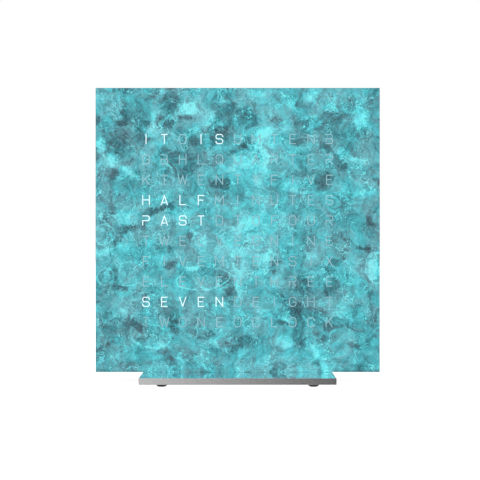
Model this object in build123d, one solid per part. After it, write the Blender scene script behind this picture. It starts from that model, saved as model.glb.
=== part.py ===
from build123d import *
import os

# A word clock for a table. A square metal cover with cut letters hangs by magnets on a flat
# case, and the case stands on a foot plate. Millimetres: X runs across the clock, Z is up and
# the letters face -Y. The origin lies on the table, below the middle of the foot plate.

# Driving dimensions

face_size = 135.0            # side of the square front cover
cover_thickness = 1.5
clock_depth = 18.0           # front of the cover to back of the case

plate_width = 90.0           # foot plate
plate_depth = 77.0
plate_thickness = 3.0
plate_gap = 0.05             # air between the front cover and the foot plate
plate_edge_break = 0.12      # small chamfer on the foot plate's edges
cover_edge_break = 0.1       # and on the cover's front, at its sides and top

foot_diameter = 6.0
foot_height = 1.8
foot_flat = 2.0              # flat that touches the table
foot_inset = 10.0            # from the foot plate's edges to a foot's middle

columns = 11
rows = 10
column_pitch = 8.71
row_pitch = 9.67
field_drop = 0.3             # the letter field sits this far below the cover's middle
cap_height = 4.8
stroke_width = 0.45
lens_clearance = 0.02        # round each raised letter of the lens

case_inset = 3.0             # the cover stands out past the case by this much all round
case_wall = 2.0
case_corner = 3.0
rear_thickness = 2.0

lens_size = 102.0
lens_thickness = 0.6
lens_recess = 0.03           # raised letters end this far below the cover's front

magnet_diameter = 8.0
magnet_thickness = 3.0
disc_thickness = 1.0
boss_diameter = 12.0
boss_offset = 57.0           # corner bosses, from the face's middle, across and up

board_size = 120.0
board_thickness = 1.6
board_front_y = -1.4
film_thickness = 0.5
grid_wall = 1.0
board_screw_x = 56.5         # the four screws that hold the board
board_screw_z = 25.0
screw_clearance = 0.2        # a through hole is this much wider on each side than its screw

pedestal_width = 70.0
pedestal_depth = 12.0
base_screw_x = 25.0

button_travel = 0.5
button_spacing = 16.0
button_rise = 50.0           # row of buttons, above the face's middle
inlet_drop = 46.0            # power inlet, below the face's middle

# Places worked out from them

plate_top = foot_height + plate_thickness
cover_bottom = plate_top + plate_gap
middle_z = cover_bottom + face_size / 2
front_y = -clock_depth / 2
cover_back_y = front_y + cover_thickness
rear_y = clock_depth / 2
rear_inner_y = rear_y - rear_thickness
case_size = face_size - 2 * case_inset
case_inside = case_size - 2 * case_wall
case_bottom = middle_z - case_size / 2
disc_back_y = cover_back_y + disc_thickness
panel_thickness = 1.5
panel_back_y = disc_back_y + panel_thickness
lens_back_y = cover_back_y + lens_thickness
film_front_y = lens_back_y + 0.2
grid_front_y = film_front_y + film_thickness
board_back_y = board_front_y + board_thickness
grid_width = columns * column_pitch + grid_wall
grid_height = rows * row_pitch + grid_wall

# Letters. The words are IT IS, the minutes, PAST or TO, the hours and OCLOCK, with single
# letters between them that are never lit.

letter_rows = [
    "ITOISUMTENB",
    "GBHLQUARTER",
    "KTWENTYFIVE",
    "HALFMINUTES",
    "PASTDTOFOUR",
    "TWELVEGNINE",
    "FIVEMTENSIX",
    "ELEVENTHREE",
    "SEVENDEIGHT",
    "TWONEOCLOCK",
]

slim = 3.1
wide = 3.6
broad = 4.2
full = 4.8
past = 1.25                  # beyond the letter, where the end is cut off square
bow = 1.35                   # corner radius of a round letter
bowl = 0.95                  # corner radius of a half-height bowl

# Each letter is its width and its strokes. A stroke is its points and the radius of each corner.
# Points run from -1 to 1 across and up the letter, on the middle line of its outer strokes. No
# stroke closes on itself, so every counter stays joined to the sheet by a bridge.
glyphs = {
    "A": (wide, [([(-1.06, -past), (0, 0.97), (1.06, -past)], [0]),
                 ([(-0.74, -0.56), (0.36, -0.56)], [])]),
    "B": (wide, [([(-past, 1), (0.86, 1), (0.86, 0.05), (-1, 0.05), (-1, -0.72)], [bowl, bowl, 0]),
                 ([(-past, -1), (1, -1), (1, 0.05), (0.1, 0.05)], [bowl, bowl])]),
    "C": (wide, [([(1, 0.36), (1, 1), (-1, 1), (-1, -1), (1, -1), (1, -0.36)], [bow] * 4)]),
    "D": (wide, [([(-past, 1), (1, 1), (1, -1), (-1, -1), (-1, 0.72)], [bow, bow, 0])]),
    "E": (slim, [([(past, 1), (-1, 1), (-1, -1), (past, -1)], [0, 0]),
                 ([(-1, 0.03), (0.8, 0.03)], [])]),
    "F": (slim, [([(past, 1), (-1, 1), (-1, -past)], [0]), ([(-1, 0.0), (0.8, 0.0)], [])]),
    "G": (wide, [([(1, 0.36), (1, 1), (-1, 1), (-1, -1), (1, -1), (1, -0.05), (0.1, -0.05)],
                  [bow] * 4 + [0])]),
    "H": (wide, [([(-1, -past), (-1, past)], []), ([(1, -past), (1, past)], []),
                 ([(-1, 0.04), (1, 0.04)], [])]),
    "I": (slim, [([(0, -past), (0, past)], [])]),
    "K": (wide, [([(-1, -past), (-1, past)], []), ([(1.05, past), (-1, -0.35)], []),
                 ([(-0.3, 0.2), (1.1, -past)], [])]),
    "L": (slim, [([(-1, past), (-1, -1), (past, -1)], [0])]),
    "M": (broad, [([(-1, -past), (-1, past)], []), ([(1, -past), (1, past)], []),
                  ([(-1.2, past), (0, -0.35), (1.2, past)], [0])]),
    "N": (wide, [([(-1, -past), (-1, past)], []), ([(1, -past), (1, past)], []),
                 ([(-past, past), (past, -past)], [])]),
    "O": (wide, [([(-1, 0.09), (-1, 1), (1, 1), (1, -1), (-1, -1), (-1, -0.09)], [bow] * 4)]),
    "P": (wide, [([(-past, 1), (1, 1), (1, -0.05), (-1, -0.05), (-1, -past)], [bowl, bowl, 0])]),
    "Q": (wide, [([(-1, 0.09), (-1, 1), (1, 1), (1, -1), (-1, -1), (-1, -0.09)], [bow] * 4),
                 ([(0.2, -0.35), (1.1, -past)], [])]),
    "R": (wide, [([(-past, 1), (1, 1), (1, -0.05), (-1, -0.05), (-1, -past)], [bowl, bowl, 0]),
                 ([(0.05, -0.05), (1.05, -past)], [])]),
    "S": (wide, [([(1, 0.42), (1, 1), (-1, 1), (-1, 0.02), (1, 0.02), (1, -1), (-1, -1),
                   (-1, -0.42)], [bowl] * 6)]),
    "T": (slim, [([(-past, 1), (past, 1)], []), ([(0, 1), (0, -past)], [])]),
    "U": (wide, [([(-1, past), (-1, -1), (1, -1), (1, past)], [bow, bow])]),
    "V": (wide, [([(-1.06, past), (0, -0.97), (1.06, past)], [0])]),
    "W": (full, [([(-1.03, past), (-0.5, -0.95), (0, 0.9), (0.5, -0.95), (1.03, past)], [0] * 3)]),
    "X": (wide, [([(-1.11, past), (1.11, -past)], []), ([(-1.11, -past), (1.11, past)], [])]),
    "Y": (wide, [([(-1.1, past), (0, -0.1), (1.1, past)], [0]), ([(0, -0.1), (0, -past)], [])]),
}


def stroke(points, radii, width):
    # A band of even width along a line, with square ends and round or mitred corners.
    runs = [(b - a).normalized() for a, b in zip(points, points[1:])]
    left, right, left_radii, right_radii = [], [], [], []
    for index, point in enumerate(points):
        before = runs[max(index - 1, 0)]
        after = runs[min(index, len(runs) - 1)]
        normal = Vector(-before.Y - after.Y, before.X + after.X)
        reach = normal * (width / 2 / (1 + before.dot(after)))
        left.append(point + reach)
        right.append(point - reach)
        is_corner = 0 < index < len(points) - 1
        radius = radii[index - 1] if is_corner else 0
        widen = -width / 2 if before.cross(after).Z > 0 else width / 2
        left_radii.append(radius + widen if radius else 0)
        right_radii.append(radius - widen if radius else 0)
    outline = FilletPolyline(*left, *reversed(right), radius=left_radii + right_radii[::-1], close=True)
    return make_face(outline)


def letter(name, inset=0.0):
    # One letter about its own middle. An inset makes it thinner all round.
    width, strokes = glyphs[name]
    across = (width - stroke_width) / 2
    up = (cap_height - stroke_width) / 2
    shape = Sketch()
    for points, radii in strokes:
        line = [Vector(x * across, y * up) for x, y in points]
        shape += stroke(line, radii, stroke_width - 2 * inset)
    return (shape & Rectangle(width - 2 * inset, cap_height - 2 * inset)).faces()


def cell_place(row, column):
    # The middle of a letter's cell, from the face's middle. Row 0 is the top one.
    x = (column - (columns - 1) / 2) * column_pitch
    z = ((rows - 1) / 2 - row) * row_pitch - field_drop
    return Pos(x, z)


def letter_faces(inset=0.0):
    drawn = {name: letter(name, inset) for name in glyphs}
    return [
        cell_place(row, column) * face
        for row, word in enumerate(letter_rows)
        for column, name in enumerate(word)
        for face in drawn[name]
    ]


# Shared shapes

def on_face(y):
    # A plane parallel to the face: local X runs across, local Y up, and it looks towards -Y.
    return Plane(origin=(0, y, middle_z), x_dir=(1, 0, 0), z_dir=(0, -1, 0))


def layer(outline, y_front, y_back):
    return extrude(on_face(y_back) * outline, amount=y_back - y_front)


def at(x, z, shape):
    return Pos(x, z) * shape


def corner_points(half_x, half_z):
    return [(x, z) for x in (-half_x, half_x) for z in (-half_z, half_z)]


def corners(half_x, half_z, shape):
    return [at(x, z, shape) for x, z in corner_points(half_x, half_z)]


def countersunk_screw(shank, head, head_height, length):
    # Head up at the origin, with a hexagon socket. The shank points down.
    body = Pos(0, 0, -length / 2) * Cylinder(shank / 2, length)
    body += Pos(0, 0, -head_height / 2) * Cone(shank / 2, head / 2, head_height)
    body = chamfer(body.edges().group_by(Axis.Z)[0], shank * 0.15)
    socket_depth = head_height * 0.6
    return body - extrude(RegularPolygon(shank * 0.32, 6), amount=-socket_depth)


def countersunk_hole(screw, depth):
    # Fits the head of a screw made with the same sizes, and clears its shank.
    shank, head, head_height = screw["shank"], screw["head"], screw["head_height"]
    cone = Pos(0, 0, -head_height / 2) * Cone(shank / 2, head / 2, head_height)
    return cone + Pos(0, 0, -depth / 2) * Cylinder(shank / 2 + screw_clearance, depth)


def pointing_back(x, y, z):
    # A place on the face whose local Z points out of the clock's back.
    return Plane(origin=(x, y, middle_z + z), x_dir=(-1, 0, 0), z_dir=(0, 1, 0))


def chip(width, height, thickness, leads, lead_pitch, sides):
    # A flat chip on the board's back with flat leads along two or four sides.
    body = layer(Rectangle(width, height), board_back_y + 0.1, board_back_y + thickness)
    body = chamfer(body.faces().sort_by(Axis.Y)[-1].edges(), 0.15)
    lead_length, lead_width, lead_thickness = 1.2, lead_pitch * 0.45, 0.2
    span = (leads - 1) / 2
    for index in range(leads):
        along = (index - span) * lead_pitch
        pad = Rectangle(width + 2 * lead_length, lead_width)
        body += layer(at(0, along, pad), board_back_y, board_back_y + lead_thickness)
        if sides == 4:
            pad = Rectangle(lead_width, height + 2 * lead_length)
            body += layer(at(along, 0, pad), board_back_y, board_back_y + lead_thickness)
    return body


def moved(shape, x, z):
    return Pos(x, 0, z) * shape


# Front cover and what is bonded to its back

def make_front_cover():
    outline = Rectangle(face_size, face_size).wire()
    sheet = Face(outline, [face.outer_wire() for face in letter_faces()])
    plate = layer(sheet, front_y, cover_back_y)
    long_edges = plate.edges().filter_by(lambda edge: edge.length > face_size * 0.9)
    front_edges = long_edges.group_by(Axis.Y)[0].sort_by(Axis.Z)
    return chamfer(front_edges[1:], cover_edge_break)


def make_letter_lens():
    sheet = layer(RectangleRounded(lens_size, lens_size, 2), cover_back_y, lens_back_y)
    root_y = cover_back_y + lens_thickness / 2
    letters = [layer(face, front_y + lens_recess, root_y) for face in letter_faces(lens_clearance)]
    return sheet.fuse(*letters)


def make_cover_discs():
    disc = Circle(magnet_diameter / 2)
    return [layer(spot, cover_back_y, disc_back_y) for spot in corners(boss_offset, boss_offset, disc)]


# Case

pocket_depth = 0.5           # each disc of the cover drops this far into its boss
pocket_gap = 0.3
boss_front_y = disc_back_y - pocket_depth
magnet_back_y = disc_back_y + magnet_thickness
rear_screw = dict(shank=2.5, head=5.0, head_height=1.3, length=8.0)
base_screw = dict(shank=3.0, head=6.0, head_height=1.6, length=9.5)
insert_diameter = 4.6
insert_height = 3.8
insert_boss = 8.0            # diameter of the case's boss round an insert
post_diameter = 6.0
self_cut = 0.05              # a threaded hole is this much wider than its screw


def make_case_shell():
    frame = RectangleRounded(case_size, case_size, case_corner)
    frame -= RectangleRounded(case_inside, case_inside, case_corner - case_wall)
    shell = layer(frame, cover_back_y, rear_inner_y)
    window_margin = 0.9
    window = Rectangle(grid_width + 2 * window_margin, grid_height + 2 * window_margin)
    panel = Rectangle(case_inside + case_wall, case_inside + case_wall) - at(0, -field_drop, window)
    shell += layer(panel, disc_back_y, panel_back_y)
    for spot in corners(boss_offset, boss_offset, Circle(boss_diameter / 2)):
        shell += layer(spot, boss_front_y, rear_inner_y)
    for spot in corners(board_screw_x, board_screw_z, Circle(post_diameter / 2)):
        shell += layer(spot, panel_back_y, board_front_y)
    boss_height = insert_height + 0.3
    for x in (-base_screw_x, base_screw_x):
        boss = Pos(x, 0, case_bottom + boss_height / 2) * Cylinder(insert_boss / 2, boss_height)
        bore = Pos(x, 0, case_bottom + insert_height / 2) * Cylinder(insert_diameter / 2, insert_height)
        shell = shell + boss - bore
    pocket = Circle(magnet_diameter / 2 + pocket_gap)
    for spot in corners(boss_offset, boss_offset, pocket):
        shell -= layer(spot, boss_front_y, disc_back_y)
    for spot in corners(boss_offset, boss_offset, Circle(magnet_diameter / 2)):
        shell -= layer(spot, disc_back_y, magnet_back_y)
    screw_hole = Circle((rear_screw["shank"] + self_cut) / 2)
    for spot in corners(boss_offset, boss_offset, screw_hole):
        shell -= layer(spot, rear_y - rear_screw["length"] - 0.5, rear_inner_y)
    for spot in corners(board_screw_x, board_screw_z, screw_hole):
        shell -= layer(spot, panel_back_y + 0.3, board_front_y)
    return shell


def make_cover_magnets():
    magnet = Circle(magnet_diameter / 2)
    return [layer(spot, disc_back_y, magnet_back_y)
            for spot in corners(boss_offset, boss_offset, magnet)]


def make_rear_cover():
    cover = layer(RectangleRounded(case_size, case_size, case_corner), rear_inner_y, rear_y)
    cover = chamfer(cover.faces().sort_by(Axis.Y)[-1].edges(), 0.4)
    hole = countersunk_hole(rear_screw, 2 * rear_thickness)
    for x, z in corner_points(boss_offset, boss_offset):
        cover -= pointing_back(x, rear_y, z) * hole
    for x in button_places.values():
        dish = layer(at(x, button_rise, Circle(dish_diameter / 2)), rear_y - dish_depth, rear_y)
        hole = layer(at(x, button_rise, Circle(cap_diameter / 2 + cap_gap)), rear_inner_y, rear_y)
        cover = cover - dish - hole
    inlet_hole = at(0, -inlet_drop, Circle(inlet_neck / 2 + inlet_gap))
    cover -= layer(inlet_hole, rear_inner_y, rear_y)
    for hole in sound_holes():
        cover -= layer(at(sounder_x, sounder_z, hole), rear_inner_y, rear_y)
    return cover


def sound_holes():
    # One hole in the middle and a ring of six round it.
    hole, ring_radius, ring_count = Circle(0.75), 3.2, 6
    ring = [Rot(0, 0, turn * 360 / ring_count) * at(ring_radius, 0, hole) for turn in range(ring_count)]
    return [hole] + ring


def make_rear_screws():
    screw = countersunk_screw(**rear_screw)
    return [pointing_back(x, rear_y, z) * screw for x, z in corner_points(boss_offset, boss_offset)]


# Light box: film, grid and the board with its lamps

def make_diffuser_film():
    return layer(at(0, -field_drop, Rectangle(grid_width, grid_height)), film_front_y, grid_front_y)


def make_light_grid():
    cell = Rectangle(column_pitch - grid_wall, row_pitch - grid_wall)
    cells = [cell_place(row, column) * cell for row in range(rows) for column in range(columns)]
    cell_wires = [place.wire() for place in cells]
    walls = Face(at(0, -field_drop, Rectangle(grid_width, grid_height)).wire(), cell_wires)
    flange_size, flange_thickness = 104.0, 1.0
    flange = Face(Rectangle(flange_size, flange_size).wire(), cell_wires)
    grid = layer(walls, grid_front_y, board_front_y)
    return grid + layer(flange, panel_back_y, panel_back_y + flange_thickness)


def make_display_board():
    board = Rectangle(board_size, board_size)
    notch = 10.5
    for spot in corners((board_size - notch) / 2, (board_size - notch) / 2, Rectangle(notch, notch)):
        board -= spot
    screw_hole = Circle(rear_screw["shank"] / 2 + screw_clearance)
    for spot in corners(board_screw_x, board_screw_z, screw_hole):
        board -= spot
    return layer(board, board_front_y, board_back_y)


def make_letter_leds():
    lamp = Rectangle(2.0, 1.25)
    lamp_height = 0.8
    return [layer(cell_place(row, column) * lamp, board_front_y - lamp_height, board_front_y)
            for row in range(rows) for column in range(columns)]


def make_light_sensor():
    # It looks out through a letter that is never lit.
    sensor_row, sensor_column = 1, 1
    spot = cell_place(sensor_row, sensor_column) * at(0, 2.4, Rectangle(2.0, 1.6))
    return layer(spot, board_front_y - 0.9, board_front_y)


def make_board_screws():
    head_diameter, head_height, shank_length = 4.5, 1.6, 4.5
    head = Pos(0, 0, head_height / 2) * Cylinder(head_diameter / 2, head_height)
    head = fillet(head.edges().group_by(Axis.Z)[-1], 0.5)
    shank = Pos(0, 0, -shank_length / 2) * Cylinder(rear_screw["shank"] / 2, shank_length)
    slot_width, slot_depth = 0.7, 0.8
    slot = Pos(0, 0, head_height - slot_depth / 2) * Box(head_diameter, slot_width, slot_depth)
    screw = head + shank - slot - Rot(0, 0, 90) * slot
    return [pointing_back(x, board_back_y, z) * screw
            for x, z in corner_points(board_screw_x, board_screw_z)]


# Parts on the board's back

sounder_x, sounder_z = 36.0, -18.0
cell_x, cell_z = -34.0, -24.0
cell_diameter, cell_thickness = 12.5, 2.0
holder_floor = 0.6
cell_front_y = board_back_y + holder_floor
cell_back_y = cell_front_y + cell_thickness


def make_microcontroller():
    return chip(7.0, 7.0, 1.4, 8, 0.8, 4)


def make_led_drivers():
    driver = chip(5.0, 8.0, 1.6, 10, 0.7, 2)
    return [moved(driver, -26.0, 14.0), moved(driver, 26.0, 14.0)]


def make_clock_crystal():
    can = layer(at(0, 13.0, SlotOverall(8.0, 3.0)), board_back_y, board_back_y + 2.5)
    return fillet(can.faces().sort_by(Axis.Y)[-1].edges(), 0.4)


def make_alarm_sounder():
    sounder_height, port_depth = 4.5, 2.0
    drum = layer(Circle(6.0), board_back_y, board_back_y + sounder_height)
    drum = chamfer(drum.faces().sort_by(Axis.Y)[-1].edges(), 0.4)
    drum -= layer(Circle(1.2), board_back_y + sounder_height - port_depth, board_back_y + sounder_height)
    return moved(drum, sounder_x, sounder_z)


def make_cell_holder():
    wall = 1.0
    outside = Circle(cell_diameter / 2 + 0.1 + wall)
    holder = layer(outside, board_back_y, cell_back_y)
    holder -= layer(Circle(cell_diameter / 2 + 0.1), cell_front_y, cell_back_y)
    return moved(holder, cell_x, cell_z)


def make_backup_cell():
    cell = layer(Circle(cell_diameter / 2), cell_front_y, cell_back_y)
    cell = fillet(cell.faces().sort_by(Axis.Y)[-1].edges(), 0.3)
    return moved(cell, cell_x, cell_z)


def make_cell_clip():
    # A spring strip across the cell, with a leg down each side of the holder to the board.
    strip_width, strip_thickness = 4.0, 0.3
    span = cell_diameter + 3.0
    strip = layer(Rectangle(span, strip_width), cell_back_y, cell_back_y + strip_thickness)
    for side in (-1, 1):
        leg = at(side * (span - strip_thickness) / 2, 0, Rectangle(strip_thickness, strip_width))
        strip += layer(leg, board_back_y, cell_back_y)
    return moved(strip, cell_x, cell_z)


def make_voltage_regulator():
    body = layer(Rectangle(6.5, 6.1), board_back_y, board_back_y + 2.3)
    body = chamfer(body.faces().sort_by(Axis.Y)[-1].edges(), 0.3)
    body += layer(at(0, 3.6, Rectangle(5.3, 1.6)), board_back_y, board_back_y + 0.5)
    for x in (-2.3, 2.3):
        body += layer(at(x, -3.9, Rectangle(0.8, 2.4)), board_back_y, board_back_y + 0.5)
    return moved(body, 17.0, -inlet_drop)


def make_supply_capacitor():
    foot = layer(Rectangle(6.6, 6.6), board_back_y, board_back_y + 0.8)
    can = layer(Circle(3.1), board_back_y + 0.8, board_back_y + 5.4)
    can = fillet(can.faces().sort_by(Axis.Y)[-1].edges(), 0.5)
    return moved(foot + can, 29.0, -inlet_drop)


# Power inlet: a round socket with a pin in the middle

inlet_neck = 8.0
inlet_body = 9.0
inlet_bore = 4.2
inlet_pin = 1.65
inlet_floor_y = 1.6
inlet_gap = 0.2              # between the socket's neck and the rear cover


def make_dc_inlet():
    shoulder_y = rear_inner_y - 0.2
    body = layer(RectangleRounded(inlet_body, inlet_body, 1.0), board_back_y, shoulder_y)
    body += layer(Circle(inlet_neck / 2), shoulder_y, rear_y)
    body -= layer(Circle(inlet_bore / 2), inlet_floor_y, rear_y)
    mouth = body.faces().sort_by(Axis.Y)[-1].inner_wires()[0].edges()
    return moved(chamfer(mouth, 0.3), 0, -inlet_drop)


def make_inlet_pin():
    pin = layer(Circle(inlet_pin / 2), inlet_floor_y, rear_y - 1.0)
    tip = pin.faces().sort_by(Axis.Y)[-1].edges()
    return moved(fillet(tip, 0.5), 0, -inlet_drop)


# Buttons: a cap in the rear cover pushes the plunger of a switch on the board

button_places = {"mode": -button_spacing, "hour": 0.0, "minute": button_spacing}
switch_size = 6.2
switch_back_y = board_back_y + 3.5
plunger_diameter = 3.5
plunger_gap = 0.08
plunger_reach = 0.7          # inside the switch, when it isn't pressed
plunger_back_y = switch_back_y + button_travel + 0.6
cap_diameter = 6.0
cap_gap = 0.25
cap_proud = 0.4
cap_edge = 0.5               # radius round the cap's back
mark_proud = 0.2
cap_flange_diameter = 8.4
cap_flange_thickness = 1.5
dish_diameter = 11.0
dish_depth = 0.6


def make_button_switches():
    plunger_room = plunger_reach + button_travel + 0.3
    switches = []
    for x in button_places.values():
        case = layer(Rectangle(switch_size, switch_size), board_back_y, switch_back_y)
        case = chamfer(case.edges().filter_by(Axis.Y), 0.6)
        bore = Circle(plunger_diameter / 2 + plunger_gap)
        bore = layer(bore, switch_back_y - plunger_room, switch_back_y)
        switches.append(moved(case - bore, x, button_rise))
    return switches


def make_plunger(x):
    pin = layer(Circle(plunger_diameter / 2), switch_back_y - plunger_reach, plunger_back_y)
    return moved(pin, x, button_rise)


def button_mark(name):
    # Raised marks that a finger can tell apart: a ring, one bar and two bars.
    bar_width, bar_height, bar_gap = 0.7, 2.8, 0.8
    bar = Rectangle(bar_width, bar_height)
    aside = (bar_width + bar_gap) / 2
    marks = {
        "mode": Circle(1.5) - Circle(0.9),
        "hour": bar,
        "minute": at(-aside, 0, bar) + at(aside, 0, bar),
    }
    cap_back_y = rear_y + cap_proud
    return layer(marks[name], cap_back_y - cap_edge, cap_back_y + mark_proud)


def make_button(name, x):
    cap = layer(Circle(cap_diameter / 2), plunger_back_y, rear_y + cap_proud)
    cap = fillet(cap.faces().sort_by(Axis.Y)[-1].edges(), cap_edge)
    flange = Circle(cap_flange_diameter / 2)
    cap += layer(flange, plunger_back_y, plunger_back_y + cap_flange_thickness)
    return moved(cap + button_mark(name), x, button_rise)


# Foot: a pedestal bar, the foot plate and what holds them

def make_base_inserts():
    ring = Cylinder(insert_diameter / 2, insert_height)
    ring -= Cylinder((base_screw["shank"] + self_cut) / 2, insert_height)
    return [Pos(x, 0, case_bottom + insert_height / 2) * ring for x in (-base_screw_x, base_screw_x)]


def make_pedestal_bar():
    height = case_bottom - plate_top
    bar = Pos(0, 0, plate_top + height / 2) * Box(pedestal_width, pedestal_depth, height)
    bar = fillet(bar.edges().filter_by(Axis.Z), 2.0)
    hole = Cylinder(base_screw["shank"] / 2 + screw_clearance, height)
    for x in (-base_screw_x, base_screw_x):
        bar -= Pos(x, 0, plate_top + height / 2) * hole
    return bar


def make_base_screws():
    screw = Rot(180, 0, 0) * countersunk_screw(**base_screw)
    return [Pos(x, 0, foot_height) * screw for x in (-base_screw_x, base_screw_x)]


def make_base_plate():
    plate = Pos(0, 0, foot_height + plate_thickness / 2) * Box(plate_width, plate_depth, plate_thickness)
    plate = chamfer(plate.edges(), plate_edge_break)
    hole = countersunk_hole(base_screw, 2 * plate_thickness)
    for x in (-base_screw_x, base_screw_x):
        plate -= Pos(x, 0, foot_height) * Rot(180, 0, 0) * hole
    return plate


def make_rubber_feet():
    radius, flat = foot_diameter / 2, foot_flat / 2
    shoulder = (flat + (radius - flat) * 0.72, foot_height * 0.34)
    side = ThreePointArc((radius, foot_height), shoulder, (flat, 0))
    rim = Polyline((flat, 0), (0, 0), (0, foot_height), (radius, foot_height))
    foot = revolve(Plane.XZ * make_face(side + rim), Axis.Z)
    return [Pos(x, y, 0) * foot
            for x in (foot_inset - plate_width / 2, plate_width / 2 - foot_inset)
            for y in (foot_inset - plate_depth / 2, plate_depth / 2 - foot_inset)]


makers = {
    "front_cover": make_front_cover,
    "letter_lens": make_letter_lens,
    "cover_discs": make_cover_discs,
    "case_shell": make_case_shell,
    "cover_magnets": make_cover_magnets,
    "rear_cover": make_rear_cover,
    "rear_screws": make_rear_screws,
    "diffuser_film": make_diffuser_film,
    "light_grid": make_light_grid,
    "display_board": make_display_board,
    "letter_leds": make_letter_leds,
    "light_sensor": make_light_sensor,
    "board_screws": make_board_screws,
    "microcontroller": make_microcontroller,
    "led_drivers": make_led_drivers,
    "clock_crystal": make_clock_crystal,
    "alarm_sounder": make_alarm_sounder,
    "cell_holder": make_cell_holder,
    "backup_cell": make_backup_cell,
    "cell_clip": make_cell_clip,
    "voltage_regulator": make_voltage_regulator,
    "supply_capacitor": make_supply_capacitor,
    "dc_inlet": make_dc_inlet,
    "inlet_pin": make_inlet_pin,
    "button_switches": make_button_switches,
    "base_inserts": make_base_inserts,
    "pedestal_bar": make_pedestal_bar,
    "base_screws": make_base_screws,
    "base_plate": make_base_plate,
    "rubber_feet": make_rubber_feet,
}


def build_nodes():
    nodes = {name: make() for name, make in makers.items()}
    for name, x in button_places.items():
        nodes[f"{name}_button"] = make_button(name, x)
        nodes[f"{name}_plunger"] = make_plunger(x)
    return nodes


os.makedirs("parts", exist_ok=True)
for node, shape in build_nodes().items():
    solids = shape if isinstance(shape, list) else shape.solids()
    body = solids[0] if len(solids) == 1 else Compound(children=list(solids))
    body.label = node
    export_step(body, f"parts/{node}.step")
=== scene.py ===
import math
import bmesh
import bpy
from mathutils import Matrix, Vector


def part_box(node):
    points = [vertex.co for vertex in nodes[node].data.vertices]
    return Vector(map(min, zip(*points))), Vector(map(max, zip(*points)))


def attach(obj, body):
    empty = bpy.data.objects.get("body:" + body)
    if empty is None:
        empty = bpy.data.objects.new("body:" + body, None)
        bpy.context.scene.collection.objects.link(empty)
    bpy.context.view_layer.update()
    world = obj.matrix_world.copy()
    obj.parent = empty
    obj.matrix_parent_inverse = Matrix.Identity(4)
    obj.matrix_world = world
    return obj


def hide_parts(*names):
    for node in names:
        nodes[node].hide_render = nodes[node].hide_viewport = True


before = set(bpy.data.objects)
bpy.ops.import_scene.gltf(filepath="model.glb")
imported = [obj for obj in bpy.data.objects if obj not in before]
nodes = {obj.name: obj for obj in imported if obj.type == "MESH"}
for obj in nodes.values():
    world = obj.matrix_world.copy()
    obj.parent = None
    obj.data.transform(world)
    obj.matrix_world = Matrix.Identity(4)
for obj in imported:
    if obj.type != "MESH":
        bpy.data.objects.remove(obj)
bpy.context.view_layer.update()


def srgb(red, green, blue):
    # a screen colour, 0 to 255, as the linear colour that a socket takes
    def linear(value):
        value /= 255
        return value / 12.92 if value <= 0.04045 else ((value + 0.055) / 1.055) ** 2.4
    return (linear(red), linear(green), linear(blue), 1.0)


def boxOf(name):
    # the middle and the half size of a node, in millimetres
    low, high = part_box(name)
    middle = tuple(500 * (a + b) for a, b in zip(low, high))
    half = tuple(500 * (b - a) for a, b in zip(low, high))
    return middle, half


def fill(tree, node, inputs):
    # an input is linked to a socket, or set to a plain value
    for name, value in inputs.items():
        if isinstance(value, bpy.types.NodeSocket):
            tree.links.new(value, node.inputs[name])
        else:
            node.inputs[name].default_value = value


def addNode(tree, kind, inputs=None, **settings):
    node = tree.nodes.new("ShaderNode" + kind)
    for name, value in settings.items():
        setattr(node, name, value)
    fill(tree, node, inputs or {})
    return node


def calc(tree, operation, first, second=0.0):
    return addNode(tree, "Math", {0: first, 1: second}, operation=operation).outputs[0]


def plus(tree, first, second):
    return calc(tree, "ADD", first, second)


def times(tree, first, second):
    return calc(tree, "MULTIPLY", first, second)


def vectorCalc(tree, operation, first, second=(0, 0, 0), output="Vector"):
    return addNode(tree, "VectorMath", {0: first, 1: second}, operation=operation).outputs[output]


def axesOf(tree, vector):
    return addNode(tree, "SeparateXYZ", {0: vector}).outputs


def remap(tree, value, low, high, toLow=0.0, toHigh=1.0):
    # a smooth step from low to high
    inputs = {"Value": value, "From Min": low, "From Max": high, "To Min": toLow, "To Max": toHigh}
    return addNode(tree, "MapRange", inputs, interpolation_type="SMOOTHSTEP").outputs["Result"]


def noise(tree, place, scale, detail=4.0, roughness=0.55, output=0):
    inputs = {"Vector": place, "Scale": scale, "Detail": detail, "Roughness": roughness}
    return addNode(tree, "TexNoise", inputs).outputs[output]


def centred(tree, value, gain, middle=0.5):
    # what varies about its middle now varies about 0
    return times(tree, calc(tree, "SUBTRACT", value, middle), gain)


def weighted(tree, first, firstShare, second, secondShare):
    return plus(tree, times(tree, first, firstShare), times(tree, second, secondShare))


def mixColour(tree, factor, first, second, blend="MIX"):
    node = addNode(tree, "Mix", {0: factor, 6: first, 7: second}, data_type="RGBA", blend_type=blend)
    return node.outputs[2]


def ramp(tree, factor, stops):
    node = addNode(tree, "ValToRGB", {"Fac": factor})
    elements = node.color_ramp.elements
    while len(elements) < len(stops):
        elements.new(1.0)
    for element, (position, colour) in zip(elements, stops):
        element.position = position
        element.color = colour
    return node.outputs["Color"]


def millimetres(tree):
    # Object coordinates in millimetres: every object here sits at the origin, unturned
    where = addNode(tree, "TexCoord").outputs["Object"]
    return vectorCalc(tree, "MULTIPLY", where, (1000, 1000, 1000))


def stretch(tree, place, x=1.0, y=1.0, z=1.0):
    return vectorCalc(tree, "MULTIPLY", place, (x, y, z))


def newMaterial(name, **shader):
    # a material with its Principled shader's constants set, and its tree
    material = bpy.data.materials.new(name)
    material.use_nodes = True
    tree = material.node_tree
    principled = tree.nodes["Principled BSDF"]
    for socket, value in shader.items():
        principled.inputs[socket.replace("_", " ")].default_value = value
    return material, tree, principled


def feed(tree, principled, **sockets):
    for socket, value in sockets.items():
        tree.links.new(value, principled.inputs[socket.replace("_", " ")])


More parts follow.
